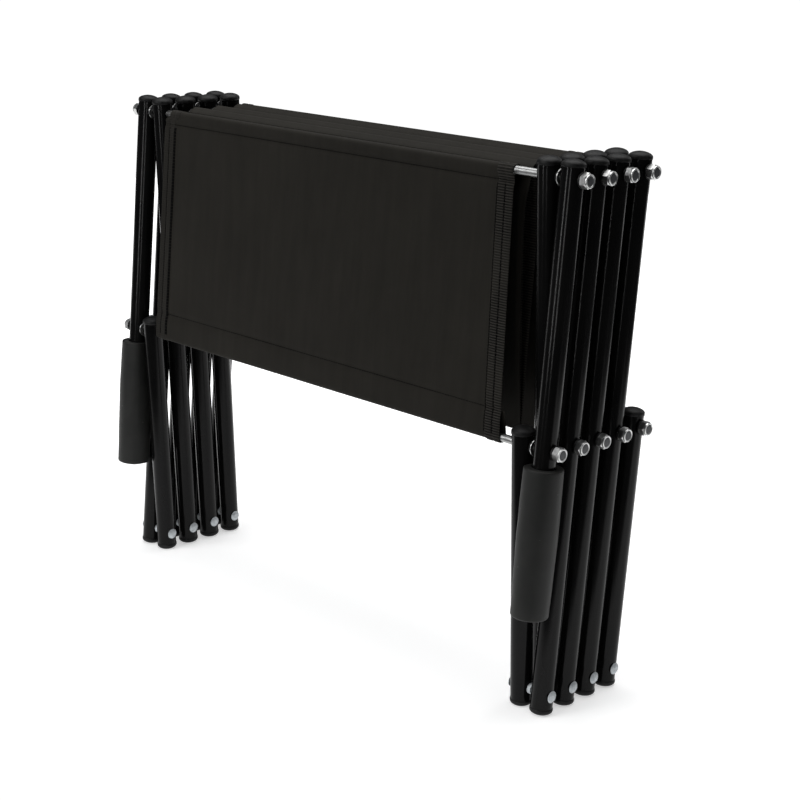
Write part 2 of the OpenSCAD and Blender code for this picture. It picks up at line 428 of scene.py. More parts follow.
def rib_shade(tree, flat, shade_depth):
    """Painted shade in the valleys between an overlocked hem's ribs and painted highlight on their
    crests, by the length along it.
    """
    along = node(tree, "ShaderNodeSeparateXYZ", {"Vector": flat}).outputs["Y"]
    turn = node(tree, "ShaderNodeMath", {0: along, 1: 2 * math.pi / RIB_PITCH}, operation="MULTIPLY")
    wave = node(tree, "ShaderNodeMath", {0: turn.outputs["Value"]}, operation="SINE")
    ranged = node(
        tree, "ShaderNodeMapRange",
        {"Value": wave.outputs["Value"], "From Min": -1.0, "To Min": 1 - shade_depth, "To Max": 1 + shade_depth},
    )
    return ranged.outputs["Result"]


def canvas_material(name, low, high, ribs=0.0):
    """Coated polyester canvas: a fine plain weave with slubs, cloudy wear and a soft sheen.
    Ribs is how deep the painted shade in the valleys between an overlocked hem's ribs and the painted
    highlight on their crests go."""
    material, tree, shader = new_material(name)
    flat = node(tree, "ShaderNodeTexCoord").outputs["UV"]
    turned = node(tree, "ShaderNodeMapping", {"Vector": flat, "Rotation": (0, 0, math.pi / 2)})
    threads = {"Scale": 320.0, "Distortion": 0.35, "Detail": 1.0}
    warp = node(tree, "ShaderNodeTexWave", {"Vector": flat, **threads})
    weft = node(tree, "ShaderNodeTexWave", {"Vector": turned.outputs["Vector"], **threads})
    weave = node(
        tree, "ShaderNodeMath", {0: warp.outputs["Fac"], 1: weft.outputs["Fac"]}, operation="MULTIPLY"
    ).outputs["Value"]
    streak = node(tree, "ShaderNodeMapping", {"Vector": flat, "Scale": (22, 2.4, 1)})
    streaks = noise_value(tree, streak.outputs["Vector"], 4, 5, 0.62)
    clouds = noise_value(tree, flat, 9, 5, 0.6)
    mixed = node(tree, "ShaderNodeMath", {0: streaks, 1: clouds}, operation="ADD")
    half = node(tree, "ShaderNodeMath", {0: mixed.outputs["Value"], 1: 0.5}, operation="MULTIPLY")
    base = colour_range(tree, half.outputs["Value"], low, high, (0.38, 0.62))
    shade = value_range(tree, weave, 0.82, 1.12)
    woven = node(
        tree, "ShaderNodeVectorMath", {0: base, 1: shade}, operation="MULTIPLY"
    ).outputs["Vector"]
    # A hem's ribs get painted shade in their valleys and painted highlight on their crests, in step
    # with the ribs in its shape.
    if ribs:
        shades = {0: woven, 1: rib_shade(tree, flat, ribs)}
        woven = node(tree, "ShaderNodeVectorMath", shades, operation="MULTIPLY").outputs["Vector"]
    tree.links.new(woven, shader.inputs["Base Color"])
    tree.links.new(value_range(tree, half.outputs["Value"], 0.66, 0.86), shader.inputs["Roughness"])
    shader.inputs["Specular IOR Level"].default_value = 0.1
    shader.inputs["Sheen Weight"].default_value = 0.03
    shader.inputs["Sheen Roughness"].default_value = 0.5
    fine = bump(tree, weave, 0.35, 0.00012)
    tree.links.new(bump(tree, clouds, 0.25, 0.0015, fine), shader.inputs["Normal"])
    return material


def thread_material():
    """Twisted polyester sewing thread. Close rows of it also paint the shadow along the left hems'
    inner edges.
    """
    material, tree, shader = new_material("sewing_thread")
    twist = node(tree, "ShaderNodeTexWave", {"Vector": place(tree), "Scale": 900.0})
    base = colour_range(tree, twist.outputs["Fac"], (0.002, 0.002, 0.002), (0.006, 0.006, 0.0058))
    tree.links.new(base, shader.inputs["Base Color"])
    shader.inputs["Roughness"].default_value = 0.8
    shader.inputs["Specular IOR Level"].default_value = 0.05
    return material


# Hard parts

def cap_profile():
    """An end cap, from the tube's end at height 0: a short skirt over the tube and a full crown."""
    foot = -CAP_SKIRT
    wall = [
        (0, 0), (TUBE_R + 0.03 * MM, 0), (TUBE_R + 0.03 * MM, foot), (CAP_R - 0.2 * MM, foot),
        (CAP_R, foot + 0.3 * MM), (CAP_R, CAP_WALL),
    ]
    crown = []
    for i in range(1, 15):
        a = math.pi / 2 * i / 14
        crown.append((CAP_R * math.cos(a) ** 1.12, CAP_WALL + (CAP_HIGH - CAP_WALL) * math.sin(a)))
    crown[-1] = (0, CAP_HIGH)
    return wall + crown


def make_caps(row, k, material):
    """The caps on one set of bars. Foot caps are worn flat where they stand on the floor."""
    shape = Shape()
    has_top = k < 5 if row == "outer" else k > 1
    has_foot = k > 1 if row == "outer" else k < 5
    has_grip = row == "outer" and k == 1
    high = (HALF_BAR if has_top else 0) + HEAD_LEN
    low = HALF_BAR + TOE_LEN if has_foot else HEAD_LEN
    row_x = OUTER_X if row == "outer" else INNER_X
    for side in SIDES.values():
        bar = on_bar(row, k, side * row_x)
        shape.lathe(bar @ Matrix.Translation((0, 0, high)), cap_profile())
        if not has_grip:
            down = Matrix.Translation((0, 0, -low)) @ Matrix.Rotation(math.pi, 4, "X")
            shape.lathe(bar @ down, cap_profile())
    for point in shape.points:
        point.z = max(point.z, 0.0)
    piece(f"{row}_end_caps_{k}", shape, [material], f"{row}_{k}", [f"{row}_caps_{k}"])


def hexagon(shape, at, flats, height, shade):
    """A hexagon whose corners are chamfered by a cone at both ends."""
    sides = 72
    chamfer = 0.492 * flats
    rings = [[], [], [], []]
    for i in range(sides):
        a = 2 * math.pi * i / sides
        corner = (a + math.pi / 6) % (math.pi / 3) - math.pi / 6
        radius = flats / 2 / math.cos(corner)
        drop = max(0.0, radius - chamfer) * math.tan(math.radians(30))
        inside = min(radius, chamfer)
        spot = [(inside, 0.0), (radius, drop), (radius, height - drop), (inside, height)]
        for ring, (r, z) in zip(rings, spot):
            ring.append((r * math.cos(a), r * math.sin(a), z))
    points = [p for ring in rings for p in ring]
    faces = []
    for level in range(3):
        for i in range(sides):
            j = (i + 1) % sides
            low, high = level * sides, (level + 1) * sides
            faces.append([low + i, low + j, high + j, high + i])
    faces.append([sides - 1 - i for i in range(sides)])
    faces.append([3 * sides + i for i in range(sides)])
    shape.add(at, points, faces, shade)


def make_nuts(k, materials):
    """Lock nuts: a chamfered hexagon, a rolled collar, its nylon ring and a dark nylon disc over the
    rod's end, which paints a dark reflection there.
    Each is turned its own way."""
    shape = Shape()
    top = NUT_HEX + COLLAR_H
    collar = [
        (COLLAR_R - 0.1 * MM, NUT_HEX - 0.2 * MM), (COLLAR_R, NUT_HEX + 0.3 * MM),
        (COLLAR_R, top - 0.9 * MM), (COLLAR_R - 0.25 * MM, top - 0.3 * MM),
        (COLLAR_R - 0.8 * MM, top), (COLLAR_R - 1.5 * MM, top - 0.1 * MM),
        (COLLAR_R - 1.8 * MM, top - 0.5 * MM), (COLLAR_R - 1.8 * MM, NUT_HEX - 0.2 * MM),
    ]
    nylon = arc(0.32 * MM, 0, 330, 8, (ROD_R + 0.33 * MM, top - 0.72 * MM))
    # A dark nylon disc covers the rod's bright end: a painted dark reflection at the nut's centre.
    end = ROD_END - NUT_FACE
    edge = ROD_R + 0.3 * MM
    dark_reflection_disc = [(0, end - 1.0 * MM), (edge, end - 1.0 * MM), (edge, end - 0.1 * MM)]
    dark_reflection_disc += dome(ROD_R + 0.1 * MM, 0.15 * MM, end + 0.02 * MM, 5)
    for side in SIDES.values():
        for n, pivot in enumerate(nut_pivots(k)):
            turn = Matrix.Rotation(math.radians(17 * k + 23 * n + 9 * side), 4, "Z")
            at = outward(side, pivot, NUT_FACE) @ turn
            hexagon(shape, at, NUT_FLATS, NUT_HEX, 0)
            shape.lathe(at, collar, 48, 0, ring=True)
            shape.lathe(at, nylon, 48, 1, ring=True)
            shape.lathe(at, dark_reflection_disc, 48, 1)
    piece(f"nyloc_nuts_{k}", shape, materials, nut_body(k), [f"lock_nuts_{k}"])


def washer_profile(hole, outside, height, edge):
    """A flat ring with softly rounded outer edges, from its lower inner corner."""
    return [
        (hole, 0), (outside - edge, 0), (outside - 0.3 * edge, 0.3 * edge), (outside, edge),
        (outside, height - edge), (outside - 0.3 * edge, height - 0.3 * edge),
        (outside - edge, height), (hole, height),
    ]


def make_washers(k, materials):
    """A dark washer under each nut, and a bright washer on a black bush between the two rows."""
    shape = Shape()
    hole = ROD_R + 0.05 * MM
    thin = 1.1 * MM
    spacer = washer_profile(hole, SPACER_R, thin, 0.25 * MM)
    bush = washer_profile(hole, BUSH_R, SPACER_T - thin, 0.4 * MM)
    washer = washer_profile(hole, WASHER_R, WASHER_T, 0.3 * MM)
    between = INNER_X + TUBE_R + GAP
    for side in SIDES.values():
        for pivot in nut_pivots(k):
            shape.lathe(outward(side, pivot, between), bush, shade=1, ring=True)
            shape.lathe(outward(side, pivot, between + SPACER_T - thin), spacer, ring=True)
            shape.lathe(outward(side, pivot, OUTER_FACE), washer, shade=1, ring=True)
    piece(f"washers_{k}", shape, materials, nut_body(k), [f"spacer_washers_{k}"])


def make_rivets(k, material):
    """Foot rivets with low pressed heads, through both rows and a spacer."""
    shape = Shape()
    body = {1: "outer_2", 2: "foot_pivot", 3: "outer_4", 4: "outer_5"}[k]
    length = OUTER_FACE - INNER_FACE
    head = dome(RIVET_HEAD_R - 0.15 * MM, RIVET_HEAD_H - 0.6 * MM, 0.6 * MM, 9)
    head = [(r, z - 0.5 * MM * math.exp(-(r / (1.3 * MM)) ** 2)) for r, z in head]
    rim = [(0, 0), (RIVET_HEAD_R - 0.2 * MM, 0), (RIVET_HEAD_R, 0.2 * MM), (RIVET_HEAD_R, 0.45 * MM)]
    spacer = washer_profile(RIVET_R + 0.05 * MM, RIVET_SPACER_R, SPACER_T, 0.4 * MM)
    for side in SIDES.values():
        inside = outward(side, FOOT[k], INNER_FACE)
        shape.lathe(inside, [(0, 0), (RIVET_R, 0), (RIVET_R, length), (0, length)], 40)
        shape.lathe(outward(side, FOOT[k], OUTER_FACE), rim + head, 40)
        shape.lathe(inside @ Matrix.Rotation(math.pi, 4, "X"), rim + head, 40)
        shape.lathe(outward(side, FOOT[k], INNER_X + TUBE_R + GAP), spacer, 40, ring=True)
    piece(f"pressed_rivets_{k}", shape, [material], body, [f"foot_rivets_{k}"])


def make_bolts(k, material):
    """Short pivot bolts with round heads inside the frame."""
    shape = Shape()
    length = ROD_END - INNER_FACE
    tip = 0.7 * MM
    shank = [(0, 0), (ROD_R, 0), (ROD_R, length - tip), (ROD_R - tip, length), (0, length)]
    rim = [(0, 0), (BOLT_HEAD_R - 0.2 * MM, 0), (BOLT_HEAD_R, 0.3 * MM), (BOLT_HEAD_R, 0.8 * MM)]
    head = rim + dome(BOLT_HEAD_R - 0.2 * MM, BOLT_HEAD_H - 1.1 * MM, 1.1 * MM)
    for side in SIDES.values():
        inside = outward(side, MID[k], INNER_FACE)
        shape.lathe(inside, shank, 40)
        shape.lathe(inside @ Matrix.Rotation(math.pi, 4, "X"), head, 48)
    piece(f"round_head_bolts_{k}", shape, [material], f"outer_{k}", [f"pivot_bolts_{k}"])


# Foam grips

def grip_radius(t):
    """The grip's radius, from its open top at 0 to its closed bottom at 1."""
    return GRIP_R + 0.7 * MM * math.sin(math.pi * min(1.0, t * 1.15)) - 0.7 * MM * t * t


def make_grip(name, side, material):
    """A closed-end foam sleeve, pressed flat beside the inner bar, with a rolled lip on top."""
    length = GRIP_END - GRIP_START
    lip = 1.6 * MM
    round_end = 2.4 * MM
    rings = [
        (TUBE_R + 0.1 * MM, -GRIP_START - 9 * MM), (TUBE_R + 0.1 * MM, -GRIP_START - 1.2 * MM),
        (TUBE_R + 0.9 * MM, -GRIP_START - 0.15 * MM),
    ]
    rings += arc(lip, 90, 0, 6, (grip_radius(0) - lip, -GRIP_START - lip))
    for i in range(1, 40):
        t = i / 40
        rings.append((grip_radius(t), -GRIP_START - lip - t * (length - lip - round_end)))
    last = grip_radius(1)
    rings += arc(round_end, 0, -90, 8, (last - round_end, -GRIP_END + round_end))
    rings.append((last * 0.4, -GRIP_END + 0.25 * MM))
    shape = Shape()
    sides = 80
    points = []
    for r, z in rings:
        for i in range(sides):
            a = 2 * math.pi * i / sides
            x, y = r * math.cos(a) * side, r * math.sin(a)
            over = -x * side - GRIP_FLAT
            if over > 0 and r > TUBE_R + 2 * MM:
                x = -side * (GRIP_FLAT + GRIP_ROLL * math.tanh(over / (2.6 * MM)))
            wobble = noise.noise(Vector((x * 55, y * 55, z * 38 + 7 * side)))
            grow = 1 + GRIP_WOBBLE * wobble / max(r, 1 * MM) * (r > TUBE_R + 1 * MM)
            points.append((x * grow, y * grow, z))
    faces = []
    for level in range(len(rings) - 1):
        for i in range(sides):
            j = (i + 1) % sides
            low, high = level * sides, (level + 1) * sides
            faces.append([low + i, low + j, high + j, high + i])
    faces.append(list(range(sides)))
    final = (len(rings) - 1) * sides
    faces.append([final + i for i in range(sides)])
    shape.add(on_bar("outer", 1, side * OUTER_X), points, faces)
    grip = piece(name, shape, [material], "outer_1", ["foam_grips"], 50)


# Canvas

def smooth(value, start, end):
    t = np.clip((value - start) / (end - start), 0, 1)
    return t * t * (3 - 2 * t)


class Path:
    """A line of cloth in the Y-Z plane: points, lengths along it and normals."""

    def __init__(self, points, step):
        rough = np.array(points, float)
        gaps = np.linalg.norm(np.diff(rough, axis=0), axis=1)
        at = np.concatenate([[0], np.cumsum(gaps)])
        count = max(2, int(round(at[-1] / step)) + 1)
        self.v = np.linspace(0, at[-1], count)
        self.y = np.interp(self.v, at, rough[:, 0])
        self.z = np.interp(self.v, at, rough[:, 1])
        self.length = at[-1]
        dy, dz = np.gradient(self.y, self.v), np.gradient(self.z, self.v)
        size = np.hypot(dy, dz)
        self.ny, self.nz = -dz / size, dy / size


def cloth_mesh(name, path, u, across, thickness, material, body, nodes=()):
    """A closed sheet along a path. u and across are rows by columns: X, and height off the path.
    The points' cloth coordinates are X and the length along the path."""
    rows, columns = u.shape
    layers = []
    for off in (0.5, -0.5):
        height = across + off * thickness
        y = path.y[:, None] + path.ny[:, None] * height
        z = path.z[:, None] + path.nz[:, None] * height
        layers.append(np.stack([u, y, z], axis=2).reshape(-1, 3))
    points = np.concatenate(layers)
    index = np.arange(rows * columns).reshape(rows, columns)
    a, b, c, d = index[:-1, :-1], index[:-1, 1:], index[1:, 1:], index[1:, :-1]
    front = np.stack([a, b, c, d], axis=2).reshape(-1, 4)
    back = front[:, ::-1] + rows * columns
    loop = np.concatenate([index[0, :], index[1:, -1], index[-1, -2::-1], index[-2:0:-1, 0]])
    after = np.roll(loop, -1)
    rim = np.stack([after, loop, loop + rows * columns, after + rows * columns], axis=1)
    faces = np.concatenate([front, back, rim])
    mesh = bpy.data.meshes.new(name)
    mesh.from_pydata(points.tolist(), [], faces.tolist())
    flat = np.stack([u, np.repeat(path.v[:, None], columns, axis=1)], axis=2).reshape(-1, 2)
    flat = np.concatenate([flat, flat])
    corners = np.zeros(len(mesh.loops), np.int32)
    mesh.loops.foreach_get("vertex_index", corners)
    layer = mesh.uv_layers.new(name="cloth")
    layer.data.foreach_set("uv", flat[corners].astype(np.float32).ravel())
    mesh.materials.append(material)
    mesh.shade_smooth()
    mesh.set_sharp_from_angle(angle=math.radians(60))
    made = bpy.data.objects.new(name, mesh)
    bpy.context.scene.collection.objects.link(made)
    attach(made, body)
    if nodes:
        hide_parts(*nodes)
    return made


def side_edge(path, side, sleeve, top, bottom, turn):
    """X of a side edge: the sleeve's end, then a slant from top to bottom that starts by the turn."""
    t = path.v / path.length
    edge = top + (bottom - top) * t - EDGE_BOW * np.sin(math.pi * t) ** 2
    return side * (sleeve + (edge - sleeve) * smooth(path.v, turn, turn + SLEEVE_STEP))


def sheet_columns(left, right, count):
    """X of a sheet's points, closer together near both edges."""
    t = np.linspace(0, 1, count)
    t = 0.5 - 0.5 * np.cos(math.pi * t) * (0.35 + 0.65 * np.abs(np.cos(math.pi * t)) ** 0.4)
    t = (t - t[0]) / (t[-1] - t[0])
    return left[:, None] + (right - left)[:, None] * t[None, :]


def hem_strip(name, path, edge, side, width, rib, material, body, facing, start, end):
    """The turned and overlocked hem along one side edge, with a rib for each stitch."""
    pick = (path.v >= start) & (path.v <= end)
    part = Path(np.stack([path.y[pick], path.z[pick]], axis=1), HEM_STEP)
    along = np.interp(part.v + start, path.v, edge)
    t = np.array(HEM_SHARES)
    u = along[:, None] - side * width * (1 - t)[None, :] + side * HEM_OUT
    crown = np.sqrt(np.clip(1 - (2 * t - 1) ** 8, 0, 1))
    ribs = rib * np.sin(2 * math.pi * part.v / RIB_PITCH)[:, None]
    groove = -HEM_GROOVE * np.exp(-(((t - 0.5) * width) / (0.8 * MM)) ** 2)
    lift = CLOTH_T / 2 + HEM_T / 2 + (crown - 1) * HEM_ROLL + groove
    across = facing * (lift[None, :] + ribs * crown[None, :])
    return cloth_mesh(name, part, u, across, HEM_T, material, body)


def stitch_line(shape, path, points, facing, lift):
    """Small sewn stitches along a line of (x, length along the path) points."""
    line = np.array(points, float)
    gaps = np.linalg.norm(np.diff(line, axis=0), axis=1)
    at = np.concatenate([[0], np.cumsum(gaps)])
    for start in np.arange(STITCH_STEP, at[-1] - STITCH_STEP, STITCH_STEP):
        ends = []
        for s in (start, start + STITCH_LEN):
            x = np.interp(s, at, line[:, 0])
            v = np.interp(s, at, line[:, 1])
            y = np.interp(v, path.v, path.y) + facing * lift * np.interp(v, path.v, path.ny)
            z = np.interp(v, path.v, path.z) + facing * lift * np.interp(v, path.v, path.nz)
            ends.append(Vector((x, y, z)))
        run = ends[1] - ends[0]
        turn = run.to_track_quat("Z", "Y").to_matrix().to_4x4()
        capsule = [
            (0, 0), (0.7 * STITCH_R, 0.12 * MM), (STITCH_R, 0.5 * MM),
            (STITCH_R, run.length - 0.5 * MM), (0.7 * STITCH_R, run.length - 0.12 * MM),
            (0, run.length),
        ]
        shape.lathe(Matrix.Translation(ends[0]) @ turn, capsule, 8)


def loft(rod, angle):
    """How far stiff cloth stands off a top rod, by the angle up from level in degrees."""
    return LOFT[rod] * math.exp(-((angle - 90) / LOFT_SPREAD) ** 2)


def panel_path(row, k, face):
    """A panel's line: round its top rod, down its face, round its middle rod and back up to a seam."""
    bar = on_bar(row, k)
    local = []
    for a in np.linspace(PANEL_START, 180, TURN_STEPS):
        wrap = INNER_WRAP + loft(min(k, 4), a)
        local.append((-face * wrap * math.cos(math.radians(a)),
                      HALF_BAR + wrap * math.sin(math.radians(a))))
    for z in np.linspace(HALF_BAR - 1 * MM, 1 * MM, 90):
        top_dip = TOP_DIP[0] * math.exp(-(((HALF_BAR - z) - TOP_SEAM) / TOP_DIP[1]) ** 2)
        low_dip = LOW_DIP[0] * math.exp(-((z - LOW_SEAM) / LOW_DIP[1]) ** 2)
        puff = LOW_PUFF * math.sin(math.pi * min(1, max(0, z / LOW_SEAM)))
        local.append((face * (INNER_WRAP - top_dip - low_dip + puff), z))
    for a in np.linspace(180, 360, 26):
        local.append((-face * INNER_WRAP * math.cos(math.radians(a)),
                      INNER_WRAP * math.sin(math.radians(a))))
    for t in np.linspace(0.05, 1, 16):
        local.append((-face * (INNER_WRAP + (-2 * INNER_WRAP + TURN_UP) * t), LOW_SEAM * t))
    world = [bar @ Vector((0, y, z)) for y, z in local]
    return [(p.y, p.z) for p in world]


def seam_at(wrap, distance, from_rod):
    """Length along a panel at a distance below its top rod, or above its middle rod."""
    return wrap + (distance if from_rod == "top" else HALF_BAR - distance)


def make_panel(name, row, k, face, edges, body, cad_node, materials):
    """The taut canvas between a top rod and a middle rod, with its hems and stitching. Face is the way
    along Y that its outer side looks."""
    canvas, hem_cloth, thread = materials
    line = panel_path(row, k, face)
    path = Path(line, PANEL_STEP)
    wrap = Path(line[:TURN_STEPS], PANEL_STEP).length
    turn = wrap + 0.4 * MM
    left = side_edge(path, -1, *edges["left"], turn)
    right = side_edge(path, 1, *edges["right"], turn)
    u = sheet_columns(left, right, PANEL_COLUMNS)
    front = path_facing(path, face)
    v = np.repeat(path.v[:, None], u.shape[1], axis=1)
    ripple = RIPPLE_H * np.sin(u * 31 + 1.7 * np.sin(v * 9)) * np.sin(math.pi * v / path.length) ** 2
    inside = np.minimum(u - left[:, None], right[:, None] - u)
    pull = PULL_H * np.sin(v * 58 + u * 6) * np.exp(-inside / 0.05)
    height = front * (ripple + pull)
    panel = cloth_mesh(name, path, u, height, CLOTH_T, canvas, body, nodes=[cad_node])
    top_seam, low_seam = seam_at(wrap, TOP_SEAM, "top"), seam_at(wrap, LOW_SEAM, "middle")
    stitches = Shape()
    for label, side in SIDES.items():
        edge = left if side < 0 else right
        width = HEM_WIDTH[label]
        hem = hem_strip(f"{name}_hem_{label}", path, edge, side, width, RIB[label], hem_cloth[label],
                        body, front, math.radians(100) * INNER_WRAP, path.length - LOW_SEAM)
        down = np.linspace(top_seam, seam_at(wrap, 0, "middle"), 12)
        # On the left, close rows of dark thread at the hem's inner edge make a painted shadow band.
        for share in STITCH_ROWS_AND_SHADOW_BAND[label]:
            run = [(np.interp(s, path.v, edge) - side * width * share, s) for s in down]
            stitch_line(stitches, path, run, front, CLOTH_T / 2 + HEM_T + 0.05 * MM)
    for s in (top_seam, low_seam):
        run = [(np.interp(s, path.v, left) + SEAM_INSET, s),
               (np.interp(s, path.v, right) - SEAM_INSET, s)]
        stitch_line(stitches, path, run, front, CLOTH_T / 2 + 0.1 * MM)
    sewn = piece(f"{name}_stitches", stitches, [thread], body, [cad_node], 60)


def path_facing(path, face):
    """+1 where a path's normals point to the cloth's outer face, and -1 where they point away."""
    middle = len(path.v) // 2
    return 1 if path.ny[middle] * face > 0 else -1


def pleat_path(k, half):
    """Half of a pleat, from its rod down to the fold. The rear half wraps over its rod as a sleeve.
    Stiff cloth leaves the rod in a broad shoulder before it hangs."""
    sign = 1 if half == "front" else -1
    number = k if half == "front" else k + 1
    rod = TOP[number]
    sleeve = half == "rear" and k < 3
    wrap = PLEAT_WRAP if sleeve else OUTER_WRAP
    start = SLEEVE_START if sleeve else LAP_START
    leave = math.radians(SHOULDER_ANGLE)
    reach = wrap + loft(number, SHOULDER_ANGLE)
    first = (reach * math.cos(leave), reach * math.sin(leave))
    last = (TOP[2].y - TOP[1].y) / 2 - 0.5 * MM
    drop = FLAP_HANG[k] + first[1]
    local = []
    for a in np.linspace(start, SHOULDER_ANGLE, 44 if sleeve else 12):
        reach = wrap + loft(number, a)
        local.append((reach * math.cos(math.radians(a)), reach * math.sin(math.radians(a))))
    for s in np.linspace(0, 1, 120)[1:] ** 1.5 * drop:
        puff = SHOULDER * s / SHOULDER_DROP * math.exp(1 - s / SHOULDER_DROP)
        local.append((first[0] + (last - first[0]) * s / drop + puff, first[1] - s))
    return [(rod.y + sign * y, rod.z + z) for y, z in local]


def make_pleat(k, half, materials, seed):
    """Half of a hanging pleat, with soft waves that fade out at the rod and at the fold."""
    canvas, hem_cloth, _ = materials
    name = f"canvas_fold_{k}_{half}"
    body = f"pleat_{k}_{half}"
    path = Path(pleat_path(k, half), PLEAT_STEP)
    hang = path.length - FLAP_HANG[k]
    left = side_edge(path, -1, PLEAT_LEFT - 2 * MM, PLEAT_LEFT, PLEAT_LEFT, hang)
    right = side_edge(path, 1, PLEAT_RIGHT - 6 * MM, PLEAT_RIGHT, PLEAT_RIGHT, hang)
    u = sheet_columns(left, right, PLEAT_COLUMNS)
    v = np.repeat(path.v[:, None], u.shape[1], axis=1)
    chance = random.Random(seed)
    rise = smooth(v, hang + WAVE_RISE[0], hang + WAVE_RISE[1])
    rise *= 1 - smooth(v, path.length - WAVE_FADE, path.length)
    waves = np.zeros_like(u)
    for _ in range(4):
        pitch, phase, slant = chance.uniform(14, 40), chance.uniform(0, 6.28), chance.uniform(-7, 7)
        waves += chance.uniform(0.3, 0.7) * np.sin(pitch * u + slant * v + phase)
    sheet = cloth_mesh(name, path, u, WAVE_H * waves * rise, CLOTH_T, canvas, body,
                       nodes=[f"canvas_pleat_{k}_{half}"])
    out = path_facing(path, -1 if half == "rear" else 1)
    extras = []
    for label, side in SIDES.items():
        edge = left if side < 0 else right
        start = hang + 2 * MM
        hem = hem_strip(f"{name}_hem_{label}", path, edge, side, PLEAT_HEM, PLEAT_RIB, hem_cloth[label],
                        body, out, start, path.length - 1 * MM)
        extras.append(hem)
    for cloth in [sheet] + extras:
        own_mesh(cloth)


# Stage, light and camera

FLOOR_R = 3.2
# The camera's way over the floor, and the way across the floor's front edge, which the tubes mirror
FORWARD = (-0.699, 0.715, 0.0)
FLOOR_EDGE = (-0.18, 0.984, 0.0)
FLOOR_FRONT = (-0.48, -0.22)
FLOOR_SIDE = (1.1, 1.6)
FLOOR_WIDENS = (0.75, 1.3)
FLOOR_GLOW = (0.5, 1.1)
FLOOR_GLOWS = (0.5, 1.8)
# A place on a front right tube, the strips' distance from it, and where all other lights aim
TUBE_PLACE = (0.309, -0.06, 0.34)
STRIP_AWAY = 1.6
LIGHT_AIM = (0, 0, 0.25)


def make_floor():
    """A pale sheet that runs far back, fades out in front and sideways, and glows more far off."""
    bpy.ops.mesh.primitive_circle_add(vertices=128, radius=FLOOR_R, fill_type="TRIFAN")
    floor = bpy.context.object
    floor.name = "floor"
    material, tree, shader = new_material("pale_floor")
    where = node(tree, "ShaderNodeTexCoord").outputs["Object"]
    across = (FORWARD[1], -FORWARD[0], 0.0)

    def fade(direction, start, end, fold=False):
        """From 0 at start to 1 at end along a direction, and both ways alike if it's folded."""
        dot = node(tree, "ShaderNodeVectorMath", {0: where, 1: direction}, operation="DOT_PRODUCT")
        value = dot.outputs["Value"]
        if fold:
            value = node(tree, "ShaderNodeMath", {0: value}, operation="ABSOLUTE").outputs["Value"]
        ranged = node(
            tree, "ShaderNodeMapRange", {"Value": value, "From Min": start, "From Max": end},
            interpolation_type="SMOOTHERSTEP",
        )
        return ranged.outputs["Result"]

    front = fade(FLOOR_EDGE, *FLOOR_FRONT)
    side = fade(across, FLOOR_SIDE[1], FLOOR_SIDE[0], fold=True)
    behind = fade(FORWARD, *FLOOR_WIDENS)
    side = node(tree, "ShaderNodeMath", {0: side, 1: behind}, operation="MAXIMUM").outputs["Value"]
    shown = node(tree, "ShaderNodeMath", {0: front, 1: side}, operation="MULTIPLY").outputs["Value"]
    shader.inputs["Base Color"].default_value = (0.9, 0.9, 0.9, 1)
    shader.inputs["Roughness"].default_value = 0.7
    shader.inputs["Specular IOR Level"].default_value = 0.0
    shader.inputs["Emission Color"].default_value = (1, 1, 1, 1)
    far = node(tree, "ShaderNodeVectorMath", {0: where}, operation="LENGTH").outputs["Value"]
    spread = node(
        tree, "ShaderNodeMapRange",
        {"Value": far, "From Min": FLOOR_GLOWS[0], "From Max": FLOOR_GLOWS[1],
         "To Min": FLOOR_GLOW[0], "To Max": FLOOR_GLOW[1]},
    ).outputs["Result"]
    tree.links.new(spread, shader.inputs["Emission Strength"])
    clear = node(tree, "ShaderNodeBsdfTransparent")
    mix = node(tree, "ShaderNodeMixShader", {0: shown})
    tree.links.new(clear.outputs["BSDF"], mix.inputs[1])
    tree.links.new(shader.outputs["BSDF"], mix.inputs[2])
    tree.links.new(mix.outputs["Shader"], tree.nodes["Material Output"].inputs["Surface"])
    floor.data.materials.append(material)


def make_world():
    """Pale surroundings as the camera sees them, over a dark studio that the gloss reflects."""
    world = bpy.data.worlds.new("studio")
    bpy.context.scene.world = world
    world.use_nodes = True
    tree = world.node_tree
    output = tree.nodes["World Output"]
    for old in [n for n in tree.nodes if n != output]:
        tree.nodes.remove(old)
    studio = node(tree, "ShaderNodeBackground", {"Color": (0.55, 0.57, 0.6, 1), "Strength": 0.12})
    pale = node(tree, "ShaderNodeBackground", {"Color": (1, 1, 1, 1), "Strength": 1.05})
    ray = node(tree, "ShaderNodeLightPath").outputs["Is Camera Ray"]
    mix = node(tree, "ShaderNodeMixShader", {0: ray})
    tree.links.new(studio.outputs["Background"], mix.inputs[1])
    tree.links.new(pale.outputs["Background"], mix.inputs[2])
    tree.links.new(mix.outputs["Shader"], output.inputs["Surface"])


def area_light(name, location, target, size, power):
    light = bpy.data.lights.new(name, "AREA")
    light.shape = "RECTANGLE"
    light.size, light.size_y = size
    light.energy = power
    made = bpy.data.objects.new(name, light)
    made.location = location
    made.rotation_euler = (Vector(target) - Vector(location)).to_track_quat("-Z", "Y").to_euler()
    bpy.context.scene.collection.objects.link(made)
    return made


def strip_place(turn):
    """A strip's place, at an angle in degrees left of the camera as the front right tube sees it."""
    angle = math.radians(turn)
    back, left = (-FORWARD[0], -FORWARD[1]), (-FORWARD[1], FORWARD[0])
    x = TUBE_PLACE[0] + STRIP_AWAY * (math.cos(angle) * back[0] + math.sin(angle) * left[0])
    y = TUBE_PLACE[1] + STRIP_AWAY * (math.cos(angle) * back[1] + math.sin(angle) * left[1])
    return (x, y, TUBE_PLACE[2])


